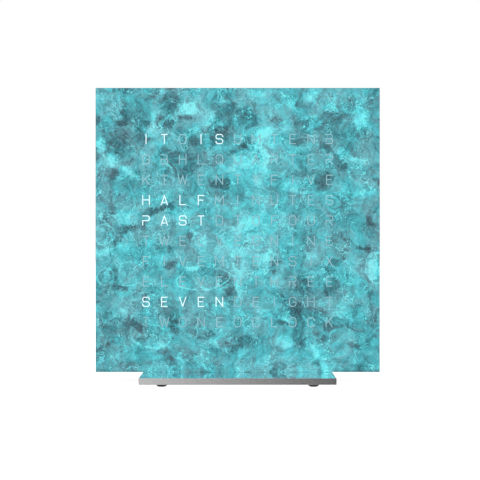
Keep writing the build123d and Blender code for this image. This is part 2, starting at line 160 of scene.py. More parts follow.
def bump(tree, height, distance, strength=1.0):
    # distance in metres
    inputs = {"Height": height, "Distance": distance, "Strength": strength}
    return addNode(tree, "Bump", inputs).outputs["Normal"]


def dress(material, *names):
    for name in names:
        piece = nodes[name]
        piece.data.materials.clear()
        piece.data.materials.append(material)


view = {
    "distance": 0.663,  # before the cover's front, metres
    "right": 0.0011,    # of the clock's middle
    "below": 0.00476,   # the cover's middle
    "lens": 104.67,
}

studio = {
    "worldStrength": 0.52,
    # place, size and power
    "lamps": {"keyLamp": ((-0.75, -0.95, 0.75), 0.7, 7.5), "fillLamp": ((0.9, -0.8, 0.35), 0.8, 3.4)},
    "aim": (0, 0, 0.07),
    "floorSize": 8.0,
    "floorColour": (0.82, 0.82, 0.82, 1),
    "floorGlow": 0.80,
    "flagDepth": 1.0,       # how dark metal sees the room behind the camera and to its right
    "flagBehind": (-0.55, -0.85), "flagRight": (-0.129, 0.075),  # directions where it starts and is full
}


def makeCamera():
    low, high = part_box("front_cover")
    camera = bpy.data.objects.new("camera", bpy.data.cameras.new("camera"))
    camera.location = (view["right"], low[1] - view["distance"], (low[2] + high[2]) / 2 - view["below"])
    camera.rotation_euler = (math.pi / 2, 0, 0)
    camera.data.lens = view["lens"]
    camera.data.sensor_width = 36
    camera.data.clip_start = 0.01
    bpy.context.collection.objects.link(camera)
    bpy.context.scene.camera = camera


def makeLamp(name, place, size, power):
    lamp = bpy.data.objects.new(name, bpy.data.lights.new(name, "AREA"))
    lamp.data.size = size
    lamp.data.energy = power
    lamp.location = place
    aim = Vector(studio["aim"]) - Vector(place)
    lamp.rotation_euler = aim.to_track_quat("-Z", "Y").to_euler()
    bpy.context.collection.objects.link(lamp)


def makeRoom():
    world = bpy.data.worlds.new("room")
    bpy.context.scene.world = world
    world.use_nodes = True
    tree = world.node_tree
    tree.nodes.clear()
    rays = addNode(tree, "LightPath").outputs
    white = (1, 1, 1, 1)
    daylight = addNode(tree, "Background", {"Color": white, "Strength": studio["worldStrength"]})
    backdrop = addNode(tree, "Background", {"Color": white, "Strength": 1.0})
    # metal sees the white room too, with a dark flag behind the camera and to its right
    direction = axesOf(tree, addNode(tree, "TexCoord").outputs["Generated"])
    behind = remap(tree, direction["Y"], *studio["flagBehind"])
    toRight = remap(tree, direction["X"], *studio["flagRight"])
    flag = times(tree, times(tree, behind, toRight), studio["flagDepth"])
    gloss = addNode(tree, "Background", {"Color": calc(tree, "SUBTRACT", 1.0, flag), "Strength": 1.0})
    seesGloss = addNode(tree, "MixShader",
                        {0: rays["Is Glossy Ray"], 1: daylight.outputs[0], 2: gloss.outputs[0]})
    direct = calc(tree, "MAXIMUM", rays["Is Camera Ray"], rays["Is Transmission Ray"])
    mixed = addNode(tree, "MixShader", {0: direct, 1: seesGloss.outputs[0], 2: backdrop.outputs[0]})
    addNode(tree, "OutputWorld", {"Surface": mixed.outputs[0]})


def makeFloor():
    # it keeps the clock's shadow, and metal sees the room's light through it
    half = studio["floorSize"] / 2
    mesh = bpy.data.meshes.new("floor")
    corners = [(-half, -half, 0), (half, -half, 0), (half, half, 0), (-half, half, 0)]
    mesh.from_pydata(corners, [], [(0, 1, 2, 3)])
    floor = bpy.data.objects.new("floor", mesh)
    bpy.context.collection.objects.link(floor)
    material, tree, principled = newMaterial(
        "paleFloor", Roughness=0.9, Base_Color=studio["floorColour"], Specular_IOR_Level=0.0,
        Emission_Color=(1, 1, 1, 1))
    rays = addNode(tree, "LightPath").outputs
    seen = calc(tree, "MAXIMUM", rays["Is Camera Ray"], rays["Is Transmission Ray"])
    feed(tree, principled, Emission_Strength=times(tree, seen, studio["floorGlow"]))
    clear = addNode(tree, "BsdfTransparent")
    surface = addNode(tree, "MixShader",
                      {0: rays["Is Glossy Ray"], 1: principled.outputs[0], 2: clear.outputs[0]})
    tree.links.new(surface.outputs[0], tree.nodes["Material Output"].inputs["Surface"])
    floor.data.materials.append(material)


makeCamera()
for lampName, lampSettings in studio["lamps"].items():
    makeLamp(lampName, *lampSettings)
makeRoom()
makeFloor()
print("stage: camera, lamps and floor")


def newGroup(name, inputs, outputs, use="Shader"):
    # inputs are label: default, or label: kind for a socket without one, and outputs are label: kind
    kinds = {tuple: "Vector", float: "Float", int: "Int"}
    tree = bpy.data.node_groups.new(name, use + "NodeTree")
    for label, default in inputs.items():
        kind = kinds.get(type(default), default)
        socket = tree.interface.new_socket(label, in_out="INPUT", socket_type="NodeSocket" + kind)
        if kind != default:
            socket.default_value = default
    for label, kind in outputs.items():
        tree.interface.new_socket(label, in_out="OUTPUT", socket_type="NodeSocket" + kind)
    return tree, tree.nodes.new("NodeGroupInput").outputs, tree.nodes.new("NodeGroupOutput").inputs


def useGroup(tree, group, inputs, output=0):
    return addNode(tree, "Group", inputs, node_tree=group).outputs[output]


ovalInputs = {"Place": (0, 0, 0), "Centre": (0, 0, 0), "Half size": (1, 1000, 1), "Turn": 0.0,
              "Strength": 1.0, "Fray": 0.0}


def makeOvalGroup(name, shape, extra={}):
    # a shape is drawn from the reach: 0 in the oval's middle and 1 on its edge, moved by the fray
    tree, start, end = newGroup(name, {**ovalInputs, **extra}, {"Value": "Float"})
    away = vectorCalc(tree, "SUBTRACT", start["Place"], start["Centre"])
    turned = addNode(tree, "VectorRotate", {"Vector": away, "Angle": start["Turn"]}, rotation_type="Y_AXIS")
    scaled = vectorCalc(tree, "DIVIDE", turned.outputs[0], start["Half size"])
    reach = plus(tree, vectorCalc(tree, "LENGTH", scaled, output="Value"), start["Fray"])
    mask = shape(tree, reach, *(start[label] for label in extra))
    tree.links.new(times(tree, mask, start["Strength"]), end["Value"])
    return tree


def stainShape(tree, reach):
    return remap(tree, reach, 1.2, 0.55)


def flakeShape(tree, reach):
    # crisp at its edge, and brightest there
    return times(tree, remap(tree, reach, 1.1, 0.95), remap(tree, reach, 0.1, 1.0, 0.45, 1.0))


def ringShape(tree, reach, rim):
    # the thin bright rim that a dried drop leaves
    return remap(tree, calc(tree, "ABSOLUTE", calc(tree, "SUBTRACT", reach, 1.0)), rim, 0.0)


def depthInside(tree, start):
    # how far inside a box the place is, along each axis
    away = vectorCalc(tree, "ABSOLUTE", vectorCalc(tree, "SUBTRACT", start["Place"], start["Centre"]))
    return axesOf(tree, vectorCalc(tree, "SUBTRACT", start["Half size"], away))


def makeEdgeGroup():
    # 1 along the edges of a box, fading to 0 at the given width, frayed by a noise. Millimetres
    tree, start, end = newGroup(
        "boxEdge", {"Place": (0, 0, 0), "Centre": (0, 0, 0), "Half size": (1, 1, 1), "Width": 0.4,
                    "Fray": 0.0}, {"Mask": "Float"})
    depth = depthInside(tree, start)
    low = calc(tree, "MINIMUM", depth["X"], depth["Y"])
    high = calc(tree, "MAXIMUM", depth["X"], depth["Y"])
    middle = calc(tree, "MAXIMUM", low, calc(tree, "MINIMUM", high, depth["Z"]))
    ragged = centred(tree, noise(tree, start["Place"], 1.1, 4, 0.7), 2.0)
    frayed = plus(tree, middle, times(tree, ragged, start["Fray"]))
    tree.links.new(remap(tree, frayed, start["Width"], 0.0), end["Mask"])
    return tree


def makeWindowGroup():
    # 1 inside an upright rectangle on the face, with a soft edge
    tree, start, end = newGroup(
        "faceWindow", {"Place": (0, 0, 0), "Centre": (0, 0, 0), "Half size": (1, 1000, 1), "Soft": 0.1},
        {"Mask": "Float"})
    inside = depthInside(tree, start)
    across = remap(tree, inside["X"], 0.0, start["Soft"])
    up = remap(tree, inside["Z"], 0.0, start["Soft"])
    tree.links.new(times(tree, across, up), end["Mask"])
    return tree


def makeHandledGroup():
    # dust in soft clouds, and finger smears: both from 0 to 1
    tree, start, end = newGroup("handled", {"Place": (0, 0, 0), "Scale": 0.05},
                                {"Dust": "Float", "Smear": "Float"})
    clouds = noise(tree, start["Place"], start["Scale"], 6, 0.65)
    specks = noise(tree, start["Place"], 2.2, 2, 0.7)
    dust = plus(tree, centred(tree, clouds, 1.4, 0.35), centred(tree, specks, 0.8))
    tree.links.new(remap(tree, dust, 0.1, 0.6), end["Dust"])
    drawn = stretch(tree, start["Place"], 0.4, 1.0, 1.0)
    smears = noise(tree, drawn, times(tree, start["Scale"], 2.6), 5, 0.6)
    tree.links.new(remap(tree, smears, 0.42, 0.66), end["Smear"])
    return tree


stainGroup = makeOvalGroup("stain", stainShape)
flakeGroup = makeOvalGroup("flake", flakeShape)
ringGroup = makeOvalGroup("driedRing", ringShape, {"Rim": 0.1})
edgeGroup = makeEdgeGroup()
windowGroup = makeWindowGroup()
handledGroup = makeHandledGroup()


def wornEdges(tree, place, name, width, fray=0.0):
    middle, half = boxOf(name)
    return useGroup(tree, edgeGroup, {
        "Place": place, "Centre": middle, "Half size": half, "Width": width, "Fray": fray})


letters = {
    "columns": 11, "rows": 10,
    "columnPitch": 8.71, "rowPitch": 9.67,
    # lit runs as (row, first column, last column), counted from the top left
    "lit": [(0, 0, 1), (0, 3, 4), (3, 0, 3), (4, 0, 3), (8, 0, 4)],
}


def cellMiddle(row, column):
    # in millimetres, across and up, of a letter's cell
    middle = boxOf("diffuser_film")[0]
    across = (column - (letters["columns"] - 1) / 2) * letters["columnPitch"]
    up = ((letters["rows"] - 1) / 2 - row) * letters["rowPitch"]
    return middle[0] + across, middle[2] + up


def windows(tree, place, rectangles, soft):
    # 1 over upright rectangles, each x, z, half width and half height in millimetres
    total = None
    for x, z, halfWidth, halfHeight in rectangles:
        mask = useGroup(tree, windowGroup, {
            "Place": place, "Centre": (x, 0, z), "Half size": (halfWidth, 1000, halfHeight), "Soft": soft})
        total = mask if total is None else plus(tree, total, mask)
    return total


def litMask(tree, place, soft, shrink=0.0):
    # 1 over the cells of the words that are lit
    cells = []
    for row, first, last in letters["lit"]:
        halfWidth = (last - first + 1) * letters["columnPitch"] / 2 - shrink
        halfHeight = letters["rowPitch"] / 2 - shrink
        cells.append((*cellMiddle(row, (first + last) / 2), halfWidth, halfHeight))
    return windows(tree, place, cells, soft)


patina = {
    # the oxide's colours from bare and dark to thick and bright, clean and dull
    "tones": [(0.0, srgb(42, 82, 90)), (0.14, srgb(50, 103, 112)), (0.30, srgb(60, 127, 137)),
              (0.42, srgb(70, 156, 166)), (0.55, srgb(80, 183, 193)), (0.70, srgb(92, 210, 219)),
              (0.85, srgb(107, 233, 242)), (1.0, srgb(128, 252, 254))],
    "dullTones": [(0.0, srgb(54, 77, 85)), (0.14, srgb(69, 97, 106)), (0.30, srgb(83, 120, 130)),
                  (0.42, srgb(96, 149, 159)), (0.55, srgb(109, 176, 186)), (0.70, srgb(121, 203, 212)),
                  (0.85, srgb(131, 227, 237)), (1.0, srgb(144, 249, 252))],
    "middle": 0.548,
    # how the places of each layer wander: scale, reach in millimetres, detail, roughness
    "bent": [(0.05, 16, 3, 0.55), (0.16, 8, 2, 0.55)],
    "frayed": [(0.6, 3.2, 4, 0.72)],  # on top of bent
    "ragged": [(0.1, 9, 3, 0.55), (0.5, 6, 6, 0.75)],
    "flaked": [(0.2, 2.5, 2, 0.55), (0.9, 1.6, 5, 0.75)],
    "looped": [(0.08, 4, 2, 0.55), (0.45, 1.3, 3, 0.6)],
    # from large to small: each starts with its scale per millimetre and ends with what it adds to the
    # tone. Clouds have a detail between the two, patches an edge, and veins a level and a width
    "clouds": [(0.03, 3, 0.06), (0.11, 8, 0.24), (0.30, 6, 0.21)],
    "patches": [(0.045, 0.015, 0.05), (0.09, 0.015, 0.07), (0.19, 0.018, 0.08), (0.42, 0.03, 0.08)],
    "creases": [(0.06, 0.06), (0.14, 0.12), (0.33, 0.14)],
    "threads": [(0.07, 0.07), (0.17, 0.14), (0.4, 0.16)],
    "grain": [(1.3, 0.20), (2.6, 0.38)],
    "bands": [(0.12, 0.34), (0.4, 0.2)],
    "veins": [(0.06, 0.47, 0.006, 0.38), (0.1, 0.53, 0.008, 0.38), (0.17, 0.5, 0.011, 0.32),
              (0.33, 0.47, 0.017, 0.19)],
    "veinShade": 0.35,      # how much of a vein's gain darkens one side of it
    "dripGain": 0.32, "dripStretch": 0.13, "bandStretch": 0.03,
    "stainGain": 1.0, "frayGain": 3.6,
    "pitDepth": 0.28, "pittedTones": (0.5, 0.3), "pitLimits": (0.55, 0.66),
    "dullLimits": (0.39, 0.64),
    # side, limit, share: tones past the limit are drawn in, by a share that the speckle varies
    "ends": [(1, 0.36, 0.26), (-1, 0.72, -0.12)],
    "speckle": 8.0,
    "tints": [(0.42, (0.98, 1.0, 0.95, 1)), (0.58, (0.98, 0.935, 1.0, 1))],  # greener and bluer spots
    "middleHeight": 72.55,  # the lists below count heights for a cover whose middle is here
}

# wide areas that are a little darker or brighter, listed as the stains are
broadStains = [
    (8, 80, 15, 44, 0, 0.06), (0, 62, 17, 13, 0, 0.10), (-52, 84, 14, 10, 0, 0.04), (64, 52, 6, 11, 0, 0.06),
    (-55, 130, 18, 12, 0, -0.08), (-24, 110, 22, 12, 0, -0.09), (-48, 100, 18, 14, 0, -0.05),
    (47, 112, 16, 12, 0, -0.06), (34, 40, 15, 17, 0, -0.07), (-50, 26, 18, 11, 0, -0.08),
    (30, 22, 12, 10, 0, -0.05),
]

# dark stains on the cover, in millimetres: x, z, half width, half height, turn in degrees, strength
darkStains = [
    (-54.4, 124.9, 3.2, 3.6, 0, 0.34), (-54.5, 138.8, 5.5, 1.8, 0, 0.22), (-31, 134, 3.6, 6, 0, 0.30),
    (-38, 136, 4, 3, 0, 0.16), (-37, 126, 2, 2.4, 0, 0.30), (-31.5, 123, 5, 1.6, 8, 0.32),
    (-24, 125.6, 2.6, 1.8, 0, 0.22), (-5, 127.5, 5.5, 8.5, 0, 0.27), (-7.5, 116.8, 4.4, 4, 0, 0.22),
    (-57.5, 114, 5.6, 4.6, 0, 0.25), (-46, 116.5, 3.6, 3, 0, 0.14), (-20.5, 116, 3, 3, 0, 0.16),
    (-31, 106, 4.2, 3.8, 0, 0.27), (-28.5, 100, 6, 3, -10, 0.24), (-58.4, 99.3, 2, 4, 0, 0.20),
    (-7.3, 94.5, 5, 4, 0, 0.30), (-36, 82.8, 7.5, 1.8, 12, 0.40), (-58.4, 82.2, 1.8, 3.6, 0, 0.20),
    (-50.3, 104.6, 2, 2, 0, 0.16), (-17, 81.8, 3, 2, 0, 0.16), (-52.6, 73.7, 4.2, 2.2, 0, 0.26),
    (-66.5, 125, 2.6, 2, 0, 0.22), (-44, 123.6, 3, 2, 0, 0.18), (5.6, 126, 5.4, 5.4, 0, 0.28),
    (4.2, 114.6, 4.4, 2.2, 35, 0.32), (0, 110.8, 3.4, 1.4, 35, 0.24), (18, 123, 3, 3, 0, 0.22),
    (27.2, 125, 2.6, 3.4, 0, 0.20), (31.8, 121.5, 1.8, 4, 0, 0.16), (31, 132, 2.4, 3, 0, 0.14),
    (43.4, 125.6, 5.4, 4, 0, 0.22), (50.5, 126.7, 3.6, 2.4, 0, 0.20), (54.4, 133, 2.5, 3, 0, 0.16),
    (57.6, 118.8, 4.4, 3.4, 0, 0.18), (29.5, 114.2, 3, 2, 0, 0.18), (51.7, 112.3, 3, 3, 0, 0.15),
    (42.5, 110.6, 3.4, 1.8, -40, 0.24), (50.3, 102.6, 5, 2.6, 0, 0.15), (30, 99.2, 5, 1.6, 0, 0.16),
    (41, 96.2, 4, 4.4, 0, 0.22), (17.6, 93.5, 4, 4, 0, 0.15), (0, 88.5, 3.4, 3.4, 0, 0.18),
    (49.4, 84, 3, 4, 0, 0.13), (62.7, 77.5, 1.8, 2.2, 0, 0.22), (4.2, 83.4, 3.6, 2, 0, 0.15),
    (-55.7, 68.6, 4.8, 1.7, 50, 0.32), (-22.5, 69.5, 1.8, 2.9, 0, 0.30), (-33.3, 56.4, 4.6, 2.4, 0, 0.26),
    (-34, 63.2, 3.4, 2.4, 0, 0.15), (-45.4, 65.2, 2.6, 2, 0, 0.16), (-56.6, 45.8, 4.2, 1.8, 0, 0.32),
    (-58.4, 51.5, 1.2, 4.2, 0, 0.22), (-63.8, 51, 1.6, 2.2, 0, 0.14), (-5.9, 49.4, 3.4, 3, 0, 0.28),
    (-4.6, 43, 2.8, 3.2, 0, 0.30), (-43.2, 42, 3.2, 1.6, 20, 0.22), (-32, 33.6, 4.6, 3.4, 0, 0.22),
    (-30.2, 27.2, 2.2, 4.6, 0, 0.32), (-53, 29.2, 3.4, 2.4, 0, 0.22), (-47.2, 26.8, 4.8, 1.6, -40, 0.32),
    (-42.5, 21.2, 6, 2.4, 0, 0.13), (-35.6, 15.6, 5.2, 1.6, 8, 0.20), (-66.5, 15.6, 2, 2, 0, 0.24),
    (-13.1, 21.9, 2, 2, 0, 0.24), (-31.5, 12, 2.8, 3, 0, 0.16), (-53, 9.4, 6, 2.6, 0, 0.15),
    (-1.9, 17, 3, 2, 0, 0.20), (60.9, 62.9, 3.9, 1.5, -25, 0.38), (47, 57.4, 2.8, 2.4, 0, 0.32),
    (43.4, 52.8, 2.4, 2.6, 0, 0.20), (30.5, 45, 4.6, 6, 0, 0.24), (29.5, 34.5, 4.6, 3, 0, 0.24),
    (44.3, 45, 3.4, 4.6, 0, 0.24), (56.7, 35.2, 2.2, 4.2, 0, 0.16), (17.6, 56.9, 1.8, 1.6, 0, 0.32),
    (17.1, 52.3, 1.6, 1.4, 0, 0.26), (8.8, 54.1, 3, 2.4, 0, 0.16), (20.3, 28.4, 4.2, 1.2, 0, 0.30),
    (42.4, 26.5, 5, 2.4, 0, 0.24), (52.6, 26.5, 4.2, 1.1, -40, 0.22), (4.2, 20.4, 5, 4, 0, 0.22),
    (29.5, 19.6, 2.8, 4, 0, 0.22), (41.5, 20.5, 4.4, 1.9, 0, 0.18), (54.9, 17.3, 4.6, 1, 0, 0.28),
    (20.3, 9, 5, 2.4, 0, 0.22), (37.4, 9, 2.6, 1.4, 0, 0.20), (57.2, 7.4, 5, 1.4, 0, 0.18),
]

# bright ones, the same way
brightStains = [
    (-23.4, 131, 4.6, 3, 20, 0.30), (-15.4, 126, 4.4, 4.4, 0, 0.20), (-18, 120.8, 5, 2.4, 0, 0.16),
    (-40, 128.4, 3.6, 2.2, 0, 0.18), (-65.2, 113, 3.2, 4.4, 0, 0.20), (-59, 105, 5, 2.2, -25, 0.28),
    (-51, 99.6, 4.8, 2, -42, 0.24), (-39, 113, 4, 2.6, 0, 0.15), (-13.6, 110.5, 1.9, 4.4, 0, 0.22),
    (-5, 103.4, 5, 2.2, 0, 0.20), (-15.4, 100.2, 3, 2.4, 0, 0.15), (-25, 81, 6, 3.4, 10, 0.15),
    (-53, 79.1, 5, 3, 0, 0.12), (13.5, 119.5, 4.6, 2.6, 50, 0.32), (10, 112, 4.4, 2.4, 40, 0.22),
    (13, 105, 2.1, 6, 0, 0.26), (3, 105, 5, 3.6, 0, 0.16), (17.1, 132, 3, 3, 0, 0.16),
    (25.9, 131.3, 2.6, 2.4, 0, 0.22), (8.8, 137.2, 5, 2.4, 0, 0.13), (36, 135.6, 5, 1.8, 30, 0.20),
    (58.1, 124.4, 4, 4, 0, 0.24), (49.8, 107.8, 4.4, 2, -45, 0.26), (57.2, 103.7, 5, 2.4, 15, 0.20),
    (25.9, 93.1, 4, 3, 0, 0.20), (50.3, 92.1, 4.6, 3.4, 0, 0.13), (60.4, 90.6, 4.2, 1.4, 35, 0.17),
    (5.6, 76.5, 6, 3.4, 0, 0.22), (0, 71.5, 4, 3.4, 0, 0.20), (-63.8, 62.7, 4, 2.2, 0, 0.22),
    (-53.5, 63.2, 3, 2.4, 0, 0.16), (-17.6, 66.4, 4, 4, 0, 0.13), (-19.9, 55.5, 5, 0.9, 8, 0.34),
    (-0.6, 51, 2.8, 5.2, 0, 0.24), (0, 42, 1.9, 4.4, 0, 0.22), (-16.7, 43.9, 6, 0.8, -8, 0.22),
    (-53.9, 33.6, 1.8, 2, 0, 0.22), (-37.8, 19.2, 3, 2.1, 0, 0.20), (-43.6, 17.6, 5.4, 0.6, -8, 0.24),
    (-26.6, 10.7, 1.5, 6.4, 0, 0.22), (-17.6, 11.6, 2.4, 4.6, 0, 0.17), (-10.4, 17.9, 4, 1.9, -25, 0.18),
    (0, 62.4, 4, 3, 0, 0.16), (14.8, 62, 1.5, 4.2, 0, 0.28), (63.6, 53.7, 2.7, 6.6, 0, 0.34),
    (34.2, 59.7, 4, 1.7, 0, 0.14), (50.7, 33.9, 4, 3, 0, 0.17), (21.3, 20.5, 4.8, 2.3, -10, 0.28),
    (36.5, 14.8, 2.2, 5.4, 0, 0.28), (41, 8.1, 3.2, 1.8, -35, 0.22), (23.6, 30.2, 3, 0.8, 0, 0.24),
    (12.5, 33, 5, 1.5, -20, 0.14), (25.9, 50.5, 3, 1.3, 20, 0.18),
]

# crisp bright flakes and ridges, the same way
flakes = [
    (12.5, 116.7, 2.6, 6.0, 35, 0.20), (4.9, 114.3, 5.6, 0.8, -31, 0.24), (12.5, 105.8, 2.4, 6.5, 5, 0.10),
    (47.2, 110.5, 8.0, 1.7, 48, 0.20), (57.2, 103.7, 5.0, 2.3, -8, 0.16), (58.1, 126.2, 3.4, 4.6, 10, 0.16),
    (34.4, 135.2, 5.0, 0.9, -37, 0.16), (-5.5, 134.0, 5.5, 0.6, 8, 0.18), (-13, 122.6, 1.8, 4.2, 8, 0.12),
    (-62, 105.3, 4.2, 2.8, 20, 0.16), (-53, 100.2, 6.4, 1.6, 38, 0.16), (64.3, 55.5, 2.8, 6.0, 8, 0.22),
    (-26, 130, 4.6, 3.4, -20, 0.14), (62, 97, 2.0, 5.5, 25, 0.12), (-11, 86, 3.2, 2.6, 0, 0.10),
]

# places peppered with small pits, the same way
pepper = [
    (3, 122, 6, 7, 0, 1.0), (-9, 90, 8, 4, -15, 1.0), (4, 91, 6, 6, 0, 0.9), (17, 57, 2, 5, 0, 1.4),
    (46, 124, 8, 5, 0, 0.6), (-36, 37, 7, 4, 0, 0.8), (-50, 125, 9, 5, 10, 0.7), (58, 20, 6, 4, 0, 0.5),
    (34, 47, 8, 9, 0, 0.5),
]

# dried rings: x, z, half width, half height, turn in degrees, strength, rim
driedRings = [
    (-62.9, 50.3, 3.8, 4.1, 0, 0.24, 0.16), (-62.9, 50.3, 2.0, 2.2, 0, 0.12, 0.22),
    (-50.2, 51.8, 6.2, 5.8, 0, 0.18, 0.09), (-63.6, 70.8, 4.6, 4.8, 0, 0.26, 0.13),
    (-16.5, 49.4, 12.8, 5.4, 4, 0.24, 0.06), (-34.5, 98.4, 4.2, 4.0, 0, 0.18, 0.12),
    (-41.5, 22.6, 9.5, 5.6, -10, 0.18, 0.07), (66, 54.8, 5.5, 7.5, 0, 0.20, 0.10),
    (-32, 112, 5, 6, 20, 0.14, 0.08), (52, 120, 4, 4.6, 0, 0.14, 0.10),
    (36, 40, 8, 12, 0, 0.12, 0.05), (-58, 92, 8, 6, -20, 0.14, 0.06),
]


def wandering(tree, place, drifts):
    # the same place, pushed about by one noise after another
    for scale, reach, detail, roughness in drifts:
        drift = noise(tree, place, scale, detail, roughness, output="Color")
        drift = vectorCalc(tree, "SUBTRACT", drift, (0.5, 0.5, 0.5))
        place = vectorCalc(tree, "ADD", place, vectorCalc(tree, "MULTIPLY", drift, (reach, reach, reach)))
    return place


def addCrust(tree, tone, bent, frayed):
    # soft clouds, crisp-edged patches, and creases and threads, each at several sizes
    for index, (scale, detail, gain) in enumerate(patina["clouds"]):
        where = vectorCalc(tree, "ADD", frayed if index > 1 else bent, (31.0 * index, 0, 57.0 * index))
        tone = plus(tree, tone, centred(tree, noise(tree, where, scale, detail, 0.62), gain))
    for index, (scale, edge, gain) in enumerate(patina["patches"]):
        where = vectorCalc(tree, "ADD", frayed, (-43.0 * index - 9.0, 0, 21.0 * index))
        patch = remap(tree, noise(tree, where, scale, 3, 0.5), 0.5 - edge, 0.5 + edge)
        tone = plus(tree, tone, centred(tree, patch, gain))
    for name, where, side in (("creases", bent, 1), ("threads", frayed, -1)):
        for scale, gain in patina[name]:
            shifted = vectorCalc(tree, "ADD", where, (51.9 * side, 0, 31.7 * scale))
            fold = calc(tree, "ABSOLUTE", centred(tree, noise(tree, shifted, scale, 1, 0.5), 2.0))
            tone = plus(tree, tone, centred(tree, fold, side * gain, 0.2))
    return tone


def addVeins(tree, tone, place, looped):
    # thin bright lines where two tones meet, dark along one side, in some places only
    fade = remap(tree, noise(tree, place, 0.11, 2), 0.42, 0.56)
    for scale, level, width, gain in patina["veins"]:
        offLine = calc(tree, "SUBTRACT", noise(tree, looped, scale, 4, 0.5), level)
        for shift, reach, share in ((0.0, width, 1.0), (2.2 * width, 1.8 * width, -patina["veinShade"])):
            away = calc(tree, "ABSOLUTE", plus(tree, offLine, shift))
            line = times(tree, remap(tree, away, reach, 0.0), fade)
            tone = plus(tree, tone, times(tree, line, share * gain))
    return tone


def addOvals(tree, tone, group, place, ovals, gain=1.0, fray=0.0):
    for oval in ovals:
        x, z, halfWidth, halfHeight, turn, strength = oval[:6]
        inputs = {"Place": place, "Centre": (x, 0, z), "Half size": (halfWidth, 1000, halfHeight),
                  "Turn": math.radians(turn), "Strength": strength * gain, "Fray": fray}
        if len(oval) > 6:
            inputs["Rim"] = oval[6]
        tone = plus(tree, tone, useGroup(tree, group, inputs))
    return tone


def breakUp(tree, tone, speckle):
    # the darkest and the brightest places keep their grain
    for side, limit, share in patina["ends"]:
        past = times(tree, calc(tree, "SUBTRACT", limit, tone), side)
        past = times(tree, calc(tree, "MAXIMUM", past, 0.0), plus(tree, speckle, share))
        tone = plus(tree, tone, times(tree, past, side))
    return tone


def makePatinaGroup():
    # the oxide's colour, and a tone from 0, bare and dark, to 1, thick and bright
    tree, start, end = newGroup("patina", {"Place": (0, 0, 0)},
                                {"Colour": "Color", "Tone": "Float", "Relief": "Float"})
    place = start["Place"]
    bent = wandering(tree, place, patina["bent"])
    frayed = wandering(tree, bent, patina["frayed"])
    ragged = wandering(tree, place, patina["ragged"])
    flaked = wandering(tree, place, patina["flaked"])
    looped = wandering(tree, place, patina["looped"])

    grains = [centred(tree, noise(tree, place, scale, 2, 0.9), gain) for scale, gain in patina["grain"]]
    tone = plus(tree, grains[0], patina["middle"])
    tone = plus(tree, tone, grains[1])
    tone = addCrust(tree, tone, bent, frayed)
    drips = noise(tree, stretch(tree, frayed, z=patina["dripStretch"]), 0.34, 5, 0.6)  # down the sheet
    tone = plus(tree, tone, centred(tree, drips, patina["dripGain"]))
    for scale, gain in patina["bands"]:  # upright streaks
        brushed = noise(tree, stretch(tree, bent, z=patina["bandStretch"]), scale, 3, 0.5)
        tone = plus(tree, tone, centred(tree, brushed, gain))
    tone = addVeins(tree, tone, place, looped)

    fray = centred(tree, noise(tree, frayed, 0.3, 7, 0.75), patina["frayGain"])
    tone = addOvals(tree, tone, ringGroup, looped, driedRings)
    for sign, stains in ((1, broadStains), (-1, darkStains), (1, brightStains)):
        tone = addOvals(tree, tone, stainGroup, ragged, stains, sign * patina["stainGain"], fray)
    tone = addOvals(tree, tone, flakeGroup, flaked, flakes, 1.0, fray)

    pitted = remap(tree, tone, *patina["pittedTones"])  # dark places are pitted
    pitted = addOvals(tree, pitted, stainGroup, ragged, pepper)
    pits = remap(tree, noise(tree, place, 1.1, 3, 0.8), *patina["pitLimits"])
    depth = times(tree, times(tree, pits, pitted), patina["pitDepth"])
    tone = calc(tree, "SUBTRACT", tone, depth)
    tone = breakUp(tree, tone, centred(tree, noise(tree, frayed, 0.9, 5, 0.85), patina["speckle"]))

    dull = remap(tree, noise(tree, frayed, 0.09, 6, 0.7), *patina["dullLimits"])
    colour = mixColour(tree, dull, ramp(tree, tone, patina["tones"]), ramp(tree, tone, patina["dullTones"]))
    tint = ramp(tree, noise(tree, frayed, 1.4, 3, 0.8), patina["tints"])
    colour = mixColour(tree, 1.0, colour, tint, "MULTIPLY")
    tree.links.new(colour, end["Colour"])
    tree.links.new(tone, end["Tone"])
    # the relief follows the middle clouds and the fine grain alone, which keeps the material light
    crust = noise(tree, bent, patina["clouds"][1][0], 8, 0.62)
    tree.links.new(plus(tree, crust, grains[1]), end["Relief"])
    return tree


coverSheet = {
    "steel": [(0.3, srgb(128, 129, 130)), (0.7, srgb(168, 169, 170))],  # the bare back
    "rim": srgb(46, 70, 77),
    "tones": (0.2, 0.8), "roughness": (0.5, 0.78),  # of the oxide, dark and bright
    # each pair is where an effect starts and where it is full, in millimetres
    "steelBehind": (0.3, 0.8),  # behind the front, where the oxide gives way to bare steel
    "plateEnds": (-0.5, 1.0),   # past the foot plate's ends, where the rim is worn again
    "lowEdge": (2.2, 0.2),      # above the bottom
    # the last share is of a painted shade on the low corners beside the foot plate
    "rimWidth": 0.3, "rimFray": 0.1, "rimWear": 0.35, "paintedLowShade": 0.35,
    "steelSmoother": 0.3, "steelMetal": 0.95,
    "relief": 0.00012,          # metres
}


